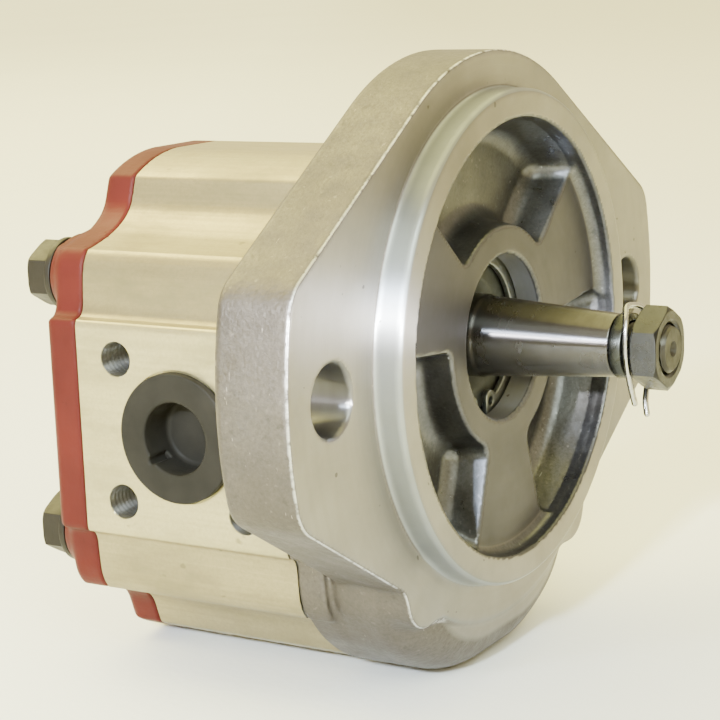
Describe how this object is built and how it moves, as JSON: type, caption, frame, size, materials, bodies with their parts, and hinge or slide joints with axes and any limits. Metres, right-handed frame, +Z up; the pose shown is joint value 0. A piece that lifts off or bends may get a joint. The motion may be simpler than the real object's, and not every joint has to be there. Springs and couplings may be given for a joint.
{
  "type": "hydraulic gear pump",
  "caption": "External gear pump with a two-bolt pilot flange, tapered keyed drive shaft, side ports closed by plastic plugs and a painted rear cover.",
  "frame": {"origin": "middle of the footprint, on the flat along the housing's underside that the pump stands on", "axes": "+X along the drive shaft, out of the mounting face; +Y across the flange ears, towards the outlet port; +Z up"},
  "size_m": [0.1054, 0.13, 0.104],
  "materials": {
    "cast_aluminium": "die cast, machined on the mounting face and pilot",
    "extruded_aluminium": "satin, as extruded",
    "red_paint": "satin red over a casting",
    "ground_steel": "ground and polished",
    "gear_steel": "ground",
    "black_steel": "black oxide",
    "nut_steel": "plain, oiled",
    "zinc_wire": "bright zinc",
    "bearing_aluminium": "machined",
    "bush_bronze": "lined bronze",
    "nitrile_rubber": "matt black",
    "plug_plastic": "moulded"
  },
  "bodies": {
    "housing": {"mounting_flange_cover": "cast_aluminium", "pump_body": "extruded_aluminium", "rear_cover": "red_paint", "front_bearing_block": "bearing_aluminium", "rear_bearing_block": "bearing_aluminium", "drive_front_bush": "bush_bronze", "driven_front_bush": "bush_bronze", "drive_rear_bush": "bush_bronze", "driven_rear_bush": "bush_bronze", "front_pressure_seal": "nitrile_rubber", "rear_pressure_seal": "nitrile_rubber", "front_body_seal": "nitrile_rubber", "rear_body_seal": "nitrile_rubber", "shaft_seal": "nitrile_rubber", "seal_retaining_ring": "nut_steel", "cover_bolt_upper_left": "black_steel", "cover_bolt_upper_right": "black_steel", "cover_bolt_lower_left": "black_steel", "cover_bolt_lower_right": "black_steel", "bolt_washer_upper_left": "black_steel", "bolt_washer_upper_right": "black_steel", "bolt_washer_lower_left": "black_steel", "bolt_washer_lower_right": "black_steel", "front_dowel_left": "gear_steel", "front_dowel_right": "gear_steel", "rear_dowel_left": "gear_steel", "rear_dowel_right": "gear_steel", "inlet_port_plug": "plug_plastic", "outlet_port_plug": "plug_plastic"},
    "drive_shaft": {"drive_gear_shaft": "ground_steel", "woodruff_key": "gear_steel", "shaft_washer": "black_steel", "shaft_nut": "nut_steel", "nut_retaining_wire": "zinc_wire"},
    "driven_shaft": {"driven_gear_shaft": "gear_steel"}
  },
  "joints": [
    {"name": "drive_spin", "type": "hinge", "parent": "housing", "child": "drive_shaft", "pos_m": [0, 0, 0.0565], "axis": [1, 0, 0], "continuous": true},
    {"name": "driven_spin", "type": "hinge", "parent": "housing", "child": "driven_shaft", "pos_m": [0, 0, 0.0311], "axis": [1, 0, 0], "continuous": true}
  ],
  "couplings": [
    {"joint": "driven_spin", "follows": "drive_spin", "ratio": -1}
  ]
}
